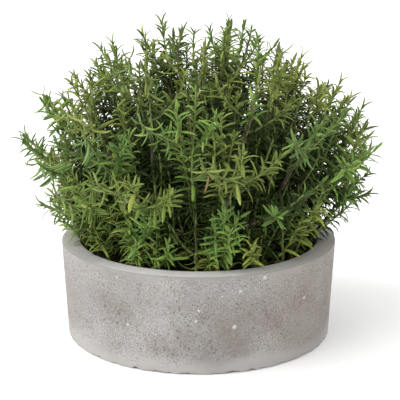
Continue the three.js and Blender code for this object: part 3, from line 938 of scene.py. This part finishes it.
def pot_relief(points):
    """How far the concrete stands out at points, and how broken the lower edge is there. Both
    edges of the rim have a few small chips."""
    radius, height = radius_of(points), points[:, 2]
    relief = 0.00025 * lumps(points, 0.05, 21) + 0.00012 * lumps(points, 0.004, 22)
    broken = smoothstep(0.0, 0.8, lumps(points, 0.009, 23))
    broken += smoothstep(-0.2, 0.8, lumps(points, 0.0042, 24))
    broken *= smoothstep(BASE_RADIUS - 0.008, BASE_RADIUS - 0.003, radius)
    broken *= 1 - smoothstep(0.0, 0.005, height)
    relief -= FOOT_BREAK * broken
    chipped = smoothstep(0.45, 0.75, lumps(points, 0.012, 25))
    chipped *= smoothstep(0.0045, 0.0, POT_HEIGHT - height)
    from_edge = np.minimum(np.abs(radius - RIM_RADIUS), np.abs(radius - HOLLOW_RADIUS))
    relief -= CHIP_DEPTH * chipped * smoothstep(0.004, 0.0, from_edge)
    return relief, broken


def add_pits(relief, points):
    """Sinks small air holes into the wall. Both arrays have a row for each of the outline's."""
    random = np.random.default_rng(5)
    first = UNDER_ROWS + EDGE_ROWS
    near = np.arange(-PIT_REACH, PIT_REACH + 1)
    for _ in range(PIT_COUNT):
        row = random.integers(first + 2, first + WALL_ROWS - 2)
        column = random.integers(POT_TURNS)
        size, depth = random.uniform(0.0012, 0.0024), random.uniform(0.0003, 0.0009)
        window = np.ix_(row + near, (column + near) % POT_TURNS)
        far = np.linalg.norm(points[window] - points[row, column], axis=-1)
        relief[window] -= depth * smoothstep(size, 0.0, far)


def make_pot(material):
    outline = pot_outline()
    ahead = np.gradient(outline, axis=0)
    normals = swept(unit(np.stack([ahead[:, 1], -ahead[:, 0]], -1)), POT_TURNS)
    points = swept(outline, POT_TURNS)
    relief, broken = pot_relief(points.reshape(-1, 3))
    relief = relief.reshape(len(outline), POT_TURNS)
    add_pits(relief, points)
    points = (points + normals * relief[:, :, None]).reshape(-1, 3)
    points[:, 2] = np.maximum(points[:, 2], 0.0) + FOOT_BREAK * broken
    add_piece("fine_pot", turned(points, POT_TURNS).mesh("fine_pot"), material, "concrete", "pot")


# ---- Soil

SOIL_TURNS = 220
SOIL_ROWS = 60
CRUMB_COUNT = 420


def make_soil(material):
    bottom = FLOOR_HEIGHT + 0.0003
    edge = (HOLLOW_RADIUS - 0.006, bottom + 0.008)
    foot = [(0.01, bottom), (HOLLOW_RADIUS - 0.0135, bottom), edge]
    radii = np.linspace(HOLLOW_RADIUS - 0.0006, 0.002, SOIL_ROWS)
    outline = foot + [(radius, soil_height(radius)) for radius in radii]
    points = swept(outline, SOIL_TURNS).reshape(-1, 3)
    top = points[len(foot) * SOIL_TURNS :]
    top[:, 2] += 0.0022 * lumps(top, 0.018, 31) + 0.0014 * lumps(top, 0.006, 32)
    add_piece("fine_soil", turned(points, SOIL_TURNS).mesh("fine_soil"), material, "soil", "soil")


def make_crumbs(material):
    """Loose clods on the soil."""
    ball = bmesh.new()
    bmesh.ops.create_icosphere(ball, subdivisions=2, radius=1.0)
    shape = np.array([point.co for point in ball.verts])
    corners = np.array([[point.index for point in face.verts] for face in ball.faces])
    ball.free()
    random = np.random.default_rng(17)
    skin = Skin()
    for index in range(CRUMB_COUNT):
        radius = math.sqrt(random.uniform(0.1, 1.0)) * (HOLLOW_RADIUS - 0.005)
        size = random.uniform(0.0012, 0.0038)
        place = polar(radius, random.uniform(0, math.tau), soil_height(radius) + 0.2 * size)
        lumpy = 1 + 0.35 * lumps(shape + index * 7.0, 0.9, 33)
        flat = np.array([1.0, random.uniform(0.7, 1.1), random.uniform(0.55, 0.8)])
        skin.add(place + shape * lumpy[:, None] * flat * size, corners)
    add_piece("soil_crumbs", skin.mesh("soil_crumbs"), material, "soil")


# ---- Materials


class Look:
    """The nodes of a material or of the world, with short ways to add those used here."""

    def __init__(self, owner):
        owner.use_nodes = True
        self.owner, self.tree = owner, owner.node_tree
        self.places = self.add("ShaderNodeTexCoord").outputs

    def add(self, kind, inputs=None, **settings):
        node = self.tree.nodes.new(kind)
        for name, value in settings.items():
            setattr(node, name, value)
        for socket, value in (inputs or {}).items():
            self.put(node.inputs[socket], value)
        return node

    def put(self, socket, value):
        if isinstance(value, bpy.types.NodeSocket):
            self.tree.links.new(value, socket)
        else:
            socket.default_value = value

    def noise(self, scale, detail=3.0, roughness=0.55, place=None, offset=0.0):
        place = place or self.places["Object"]
        if offset:
            shift = {0: place, 1: (offset, offset, offset)}
            place = self.add("ShaderNodeVectorMath", shift, operation="ADD").outputs[0]
        inputs = {"Vector": place, "Scale": scale, "Detail": detail, "Roughness": roughness}
        return self.add("ShaderNodeTexNoise", inputs).outputs["Fac"]

    def distance(self, place):
        inputs = {0: self.places["Object"], 1: place}
        return self.add("ShaderNodeVectorMath", inputs, operation="DISTANCE").outputs["Value"]

    def math(self, operation, one, other=0.0, is_clamped=False):
        settings = {"operation": operation, "use_clamp": is_clamped}
        return self.add("ShaderNodeMath", {0: one, 1: other}, **settings).outputs[0]

    def total(self, one, other, is_clamped=False):
        return self.math("ADD", one, other, is_clamped)

    def product(self, one, *others):
        for other in others:
            one = self.math("MULTIPLY", one, other)
        return one

    def gap(self, one, other):
        return self.math("ABSOLUTE", self.math("SUBTRACT", one, other))

    def fade(self, value, low, high, start=0.0, end=1.0):
        inputs = {"Value": value, "From Min": low, "From Max": high, "To Min": start, "To Max": end}
        return self.add("ShaderNodeMapRange", inputs, interpolation_type="SMOOTHSTEP").outputs["Result"]

    def ramp(self, value, *stops):
        """Colours at places from 0 to 1."""
        node = self.add("ShaderNodeValToRGB", {"Fac": value})
        elements = node.color_ramp.elements
        while len(elements) < len(stops):
            elements.new(0.5)
        for element, (place, colour) in zip(elements, stops):
            element.position = place
            element.color = (*colour, 1.0)
        return node.outputs["Color"]

    def mix(self, share, one, other, blend="MIX"):
        node = self.add("ShaderNodeMix", data_type="RGBA", blend_type=blend)
        self.put(node.inputs["Factor"], share)
        for socket, value in ((node.inputs[6], one), (node.inputs[7], other)):
            self.put(socket, value if isinstance(value, bpy.types.NodeSocket) else (*value, 1.0))
        return node.outputs[2]

    def layers(self, colour, *layers):
        """A colour under others, each a share and a colour."""
        for share, over in layers:
            colour = self.mix(share, colour, over)
        return colour

    def split(self, vector):
        return self.add("ShaderNodeSeparateXYZ", {"Vector": vector}).outputs

    def finish(self, colour, roughness, height=None, distance=0.0, strength=1.0, specular=0.5):
        inputs = self.tree.nodes["Principled BSDF"].inputs
        self.put(inputs["Base Color"], colour)
        self.put(inputs["Roughness"], roughness)
        self.put(inputs["Specular IOR Level"], specular)
        if height is not None:
            relief = {"Height": height, "Distance": distance, "Strength": strength}
            self.put(inputs["Normal"], self.add("ShaderNodeBump", relief).outputs[0])
        return self.owner


FRONT_STONES = (  # azimuth in degrees, height and radius of the white stones that show in front
    (-64, 0.116, 0.0027),
    (-74, 0.103, 0.002),
    (-81, 0.098, 0.0013),
    (-90, 0.081, 0.0018),
    (-91, 0.068, 0.0019),
    (-76, 0.059, 0.0028),
    (-43, 0.078, 0.0022),
    (-123, 0.113, 0.0012),
    (-119, 0.056, 0.0017),
)
FRONT_STAINS = (  # the same for brown stains
    (-118, 0.062, 0.02),
    (-128, 0.075, 0.018),
    (-104, 0.03, 0.02),
    (-96, 0.046, 0.022),
    (-85, 0.038, 0.024),
    (-74, 0.034, 0.022),
    (-60, 0.062, 0.022),
    (-45, 0.08, 0.022),
)


def on_wall(azimuth, height):
    radius = BASE_RADIUS + (RIM_RADIUS - BASE_RADIUS) * height / POT_HEIGHT
    return polar(radius, math.radians(azimuth), height)


def stained_wall(look, x, z, cloud, side):
    """The wall's colour, cloudy and stained in patches, paler at the foot and the left. Also the
    share of stain."""
    greener = look.fade(look.noise(26, 5, 0.65, offset=23.0), 0.48, 0.6, 0.0, 0.4)
    band = look.product(look.fade(z, 0.012, 0.034), look.fade(z, 0.108, 0.07))
    stain = look.product(band, look.fade(look.noise(12, 6, 0.74, offset=3.0), 0.38, 0.66))
    dull = look.fade(look.noise(13, 5, offset=7.0), 0.5, 0.64)
    colour = look.layers(
        look.mix(cloud, (0.37, 0.353, 0.341), (0.296, 0.281, 0.269)),
        (greener, (0.325, 0.32, 0.29)),
        (look.product(stain, 0.55), (0.2, 0.16, 0.15)),
        (look.product(side, 0.76), look.mix(cloud, (0.392, 0.352, 0.318), (0.32, 0.285, 0.255))),
        (look.product(dull, band, 0.45), (0.225, 0.192, 0.154)),
    )
    ragged = look.product(look.noise(45, 5, 0.7, offset=19.0), 0.05)
    for azimuth, height, size in FRONT_STAINS:
        far = look.total(look.distance(on_wall(azimuth, height)), ragged)
        colour = look.mix(look.fade(far, size + 0.03, 0.025, 0.0, 0.42), colour, (0.21, 0.176, 0.158))
    foot = look.fade(look.total(z, look.product(cloud, 0.01)), 0.032, 0.012)
    paler = (look.product(foot, 0.7), (0.425, 0.41, 0.396))
    return look.layers(colour, paler, (look.fade(x, -0.06, -0.15, 0.0, 0.2), (0.43, 0.415, 0.4))), stain


def gritty(look, colour, z, stain):
    """The colour with sandy grain and fine dark pits on the wall, and the height of these."""
    ragged = look.fade(look.noise(34, 4, offset=9.0), 0.3, 0.7, -0.009, 0.009)
    level = look.total(z, ragged)
    wall = look.product(look.fade(level, 0.006, 0.022), look.fade(level, 0.1235, 0.117))
    sand = look.noise(760, 2, 0.8)
    shade = look.fade(sand, 0.36, 0.64, 0.68, 1.32)
    coarse = look.fade(look.noise(15, 3, offset=17.0), 0.3, 0.65, 0.45, 1.0)
    grain = look.mix(look.product(wall, coarse), (0.97, 0.97, 0.97), shade)
    colour = look.mix(1.0, colour, grain, "MULTIPLY")
    dense = look.fade(look.noise(20, 3, offset=11.0), 0.35, 0.65, 0.35, 1.0)
    dense = look.total(dense, look.product(stain, 0.5), is_clamped=True)
    pits = look.fade(look.noise(480, 2, 0.6, offset=13.0), 0.59, 0.65)
    pits = look.product(pits, dense, wall)
    colour = look.mix(look.product(pits, 0.8), colour, (0.10, 0.088, 0.075))
    return colour, look.math("SUBTRACT", look.product(sand, 0.5), pits)


def white_stones(look, y):
    """Where white stones show in the surface: scattered behind, and each at its place in front."""
    cells = look.add("ShaderNodeTexVoronoi", {"Vector": look.places["Object"], "Scale": 52})
    chance, scatter, _ = look.split(cells.outputs["Color"])
    wobble = look.product(look.noise(420, 3, 0.7), 0.4)
    far = look.total(cells.outputs["Distance"], wobble)
    far = look.total(far, look.fade(scatter, 0.0, 1.0, 0.0, 0.1))
    behind = look.fade(y, -0.1, -0.06)
    stone = look.product(look.fade(far, 0.33, 0.28), look.fade(chance, 0.7, 0.72), behind)
    for azimuth, height, size in FRONT_STONES:
        far = look.total(look.distance(on_wall(azimuth, height)), look.product(wobble, 0.5 * size))
        stone = look.math("MAXIMUM", stone, look.fade(far, 1.3 * size, 0.6 * size))
    return stone


def trowelled_rim(look, colour, x, z, side):
    """The colour with the rim's, partly painted light, and painted shade on its edge; also the share of
    rim.
    """
    upward = look.split(look.add("ShaderNodeNewGeometry").outputs["Normal"])[2]
    # Painted shade: the rim's rounded outer edge is darker, so that the light on it makes no bright
    # line
    painted_bevel_shade = look.product(look.fade(z, 0.1185, 0.12), look.fade(upward, 0.1, 0.6))
    cloud = look.fade(look.noise(30, 4), 0.3, 0.7)
    # The rim's own smooth pale tone, lifted further by painted light against the foliage's shade over
    # it, most at the front, less at the left and the right
    rim_tone_and_painted_light = look.layers(
        look.mix(cloud, (0.78, 0.755, 0.74), (0.69, 0.665, 0.65)),
        (side, (0.48, 0.455, 0.435)),
        (look.fade(x, -0.07, -0.14, 0.0, 0.8), (0.47, 0.455, 0.44)),
    )
    rim = look.product(look.fade(z, 0.1195, 0.121), look.fade(upward, 0.93, 0.998))
    return look.layers(colour, (painted_bevel_shade, (0.31, 0.298, 0.286)), (look.product(rim, 0.9), rim_tone_and_painted_light)), rim


def concrete():
    look = Look(bpy.data.materials.new("cast_concrete"))
    x, y, z = look.split(look.places["Object"])
    cloud = look.fade(look.noise(11, 5), 0.36, 0.64)
    side = look.product(look.fade(x, 0.01, 0.15), look.fade(x, 0.13, 0.172, 1.0, 0.55))
    colour, stain = stained_wall(look, x, z, cloud, side)
    colour, relief = gritty(look, colour, z, stain)
    colour = look.mix(look.product(white_stones(look, y), 0.85), colour, (0.60, 0.585, 0.56))
    colour, rim = trowelled_rim(look, colour, x, z, side)
    relief = look.product(relief, look.fade(rim, 0.0, 1.0, 1.0, 0.2))
    return look.finish(colour, look.fade(cloud, 0, 1, 0.82, 0.95), relief, 0.0005, 0.7, 0.3)


def earth():
    look = Look(bpy.data.materials.new("potting_soil"))
    lump = look.noise(260, 5, 0.65)
    colour = look.ramp(
        lump, (0.3, (0.012, 0.009, 0.007)), (0.52, (0.035, 0.024, 0.017)), (0.75, (0.085, 0.06, 0.042))
    )
    fibre = look.fade(look.noise(700, 2, offset=5.0), 0.66, 0.72)
    colour = look.mix(look.product(fibre, 0.5), colour, (0.16, 0.115, 0.075))
    return look.finish(colour, 0.95, lump, 0.0015, 0.8, 0.2)


def bark():
    look = Look(bpy.data.materials.new("rosemary_bark"))
    stretch = look.add("ShaderNodeMapping", {"Vector": look.places["Object"], "Scale": (1, 1, 0.22)})
    strips = look.noise(420, 4, 0.6, place=stretch.outputs[0])
    colour = look.ramp(
        strips, (0.32, (0.05, 0.038, 0.027)), (0.5, (0.11, 0.087, 0.062)), (0.7, (0.22, 0.18, 0.135))
    )
    return look.finish(colour, 0.9, strips, 0.0006, 0.7, 0.2)


def rosemary():
    """Leaves and green stems, coloured by their places on the map."""
    look = Look(bpy.data.materials.new("rosemary_leaf"))
    place = look.add("ShaderNodeUVMap", uv_map=MAP_NAME).outputs[0]
    u, v, _ = look.split(place)
    column, row = look.product(u, COLUMNS), look.product(v, ROWS)
    around = look.math("FRACT", column)
    along = look.math("FRACT", row)
    tone = look.math("DIVIDE", look.math("FLOOR", column), DRY_COLUMN - 1)
    brightness = look.math("DIVIDE", look.math("FLOOR", row), STEM_ROW - 1)

    # From yellow-green to blue-green, and from dark to light, where the dark rows also hold the crown's
    # painted shade
    hue = look.ramp(
        tone,
        (0.0, (0.22, 0.25, 0.045)),
        (0.35, (0.155, 0.225, 0.04)),
        (0.7, (0.115, 0.21, 0.038)),
        (1.0, (0.085, 0.195, 0.046)),
    )
    dark = look.mix(1.0, hue, (0.14, 0.17, 0.05), "MULTIPLY")
    # Painted sheen: the light tone is raised more in red and blue than in green, a paler, greyer gloss
    # on lit leaves
    light = look.mix(1.0, hue, (2.0, 1.87, 2.0), "MULTIPLY")
    top = look.mix(brightness, dark, light)
    mottle = look.noise(70, 3, place=place)
    top = look.mix(look.fade(mottle, 0.35, 0.7, 0.0, 0.35), top, (0.05, 0.09, 0.02))

    # Painted shade along the middle groove above, and the pale felt between the rolled edges below
    groove_shade = look.fade(look.gap(around, 0.28), 0.035, 0.008)
    top = look.mix(look.product(groove_shade, 0.45), top, (0.04, 0.075, 0.018))
    felt = look.mix(0.4, top, (0.28, 0.34, 0.17))
    from_rib = look.gap(around, 0.72)
    inside = look.product(look.fade(from_rib, 0.018, 0.035), look.fade(from_rib, 0.165, 0.135))
    colour = look.mix(look.product(inside, 0.6), top, felt)

    # Paler at the foot, and now and then a brown tip
    colour = look.mix(look.fade(along, 0.2, 0.05, 0.0, 0.5), colour, (0.27, 0.31, 0.11))
    is_brown = look.fade(look.noise(9, 0, place=place), 0.5, 0.6)
    tip = look.product(look.fade(along, 0.9, 0.95), is_brown, 0.6)
    colour = look.mix(tip, colour, (0.16, 0.09, 0.035))
    dry = look.ramp(
        along, (0.1, (0.17, 0.14, 0.05)), (0.6, (0.22, 0.14, 0.06)), (1.0, (0.27, 0.15, 0.07))
    )
    is_dry = look.math("GREATER_THAN", u, DRY_COLUMN / COLUMNS)
    colour = look.mix(is_dry, colour, dry)

    stem = look.ramp(
        along,
        (0.05, (0.2, 0.135, 0.115)),
        (0.35, (0.18, 0.125, 0.08)),
        (0.6, (0.18, 0.19, 0.065)),
        (0.95, (0.2, 0.28, 0.075)),
    )
    darker = look.fade(look.noise(55, 4, place=place), 0.4, 0.7, 0.0, 0.5)
    stem = look.mix(darker, stem, (0.08, 0.07, 0.035))
    is_stem = look.math("GREATER_THAN", v, STEM_ROW / ROWS)
    colour = look.mix(is_stem, colour, stem)
    return look.finish(colour, look.fade(brightness, 0.0, 1.0, 0.75, 0.4), None, specular=0.24)


def floor_material():
    look = Look(bpy.data.materials.new("pale_floor"))
    faint = look.noise(3, 2)
    colour = look.mix(faint, (0.95, 0.95, 0.95), (0.98, 0.98, 0.98))
    return look.finish(colour, 0.9, None, specular=0.2)


# ---- Stage

FLOOR_SIDE = 60.0
SIDE_LIGHT, TOP_LIGHT = 0.62, 1.35
SUN_DIRECTION = Vector((-1.3, -0.5, 1.1))  # from which it shines
SUN_STRENGTH = 2.0
SUN_WIDTH = math.radians(60)


def studio_light():
    """An even white light, strongest from above."""
    look = Look(bpy.data.worlds.new("studio"))
    height = look.split(look.places["Generated"])["Z"]
    inputs = {"Value": height, "To Min": SIDE_LIGHT, "To Max": TOP_LIGHT}
    strength = look.add("ShaderNodeMapRange", inputs).outputs["Result"]
    background = look.tree.nodes["Background"]
    look.put(background.inputs["Strength"], strength)
    look.put(background.inputs["Color"], (1.0, 1.0, 1.0, 1.0))
    return look.owner


def make_stage():
    camera = add_object("camera", bpy.data.cameras.new("camera"))
    camera.data.lens = CAMERA_LENS
    camera.data.sensor_width = SENSOR_WIDTH
    camera.data.sensor_fit = "HORIZONTAL"
    camera.location = CAMERA_PLACE
    camera.rotation_euler = Euler((math.pi / 2 - CAMERA_PITCH, 0, CAMERA_YAW))
    corners = np.array([(-0.5, -0.5, 0), (0.5, -0.5, 0), (0.5, 0.5, 0), (-0.5, 0.5, 0)])
    skin = Skin()
    skin.add(corners * FLOOR_SIDE, [[0, 1, 2, 3]])
    ground = add_object("floor", skin.mesh("floor"))
    ground.data.materials.append(floor_material())
    sun = add_object("sun", bpy.data.lights.new("sun", "SUN"))
    sun.data.energy = SUN_STRENGTH
    sun.data.angle = SUN_WIDTH
    sun.rotation_euler = SUN_DIRECTION.to_track_quat("Z", "Y").to_euler()
    scene = bpy.context.scene
    scene.camera = camera
    scene.world = studio_light()
    scene.view_settings.view_transform = "Standard"


# ---- The whole

make_stage()
make_pot(concrete())
soil_look = earth()
make_soil(soil_look)
make_crumbs(soil_look)
bark_look = bark()
wood_points = []
for name in WOOD:
    wood_points += [point.co.copy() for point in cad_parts[name].data.vertices]
    dress_wood(name, bark_look)
leaf_look = rosemary()
sprays = {name: read_spray(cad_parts[name]) for name in SPRAYS}
stem_lines = [line for lines, _ in sprays.values() for line in lines]
crown = Crown(np.array([line.at(line.length) for line in stem_lines]))
for number, (name, (lines, leaves)) in enumerate(sprays.items()):
    dress_spray(name, 1000 + number, lines, leaves, crown, leaf_look)
fill_crown(stem_lines, wood_points, crown, leaf_look)
fill_edge(crown, leaf_look)
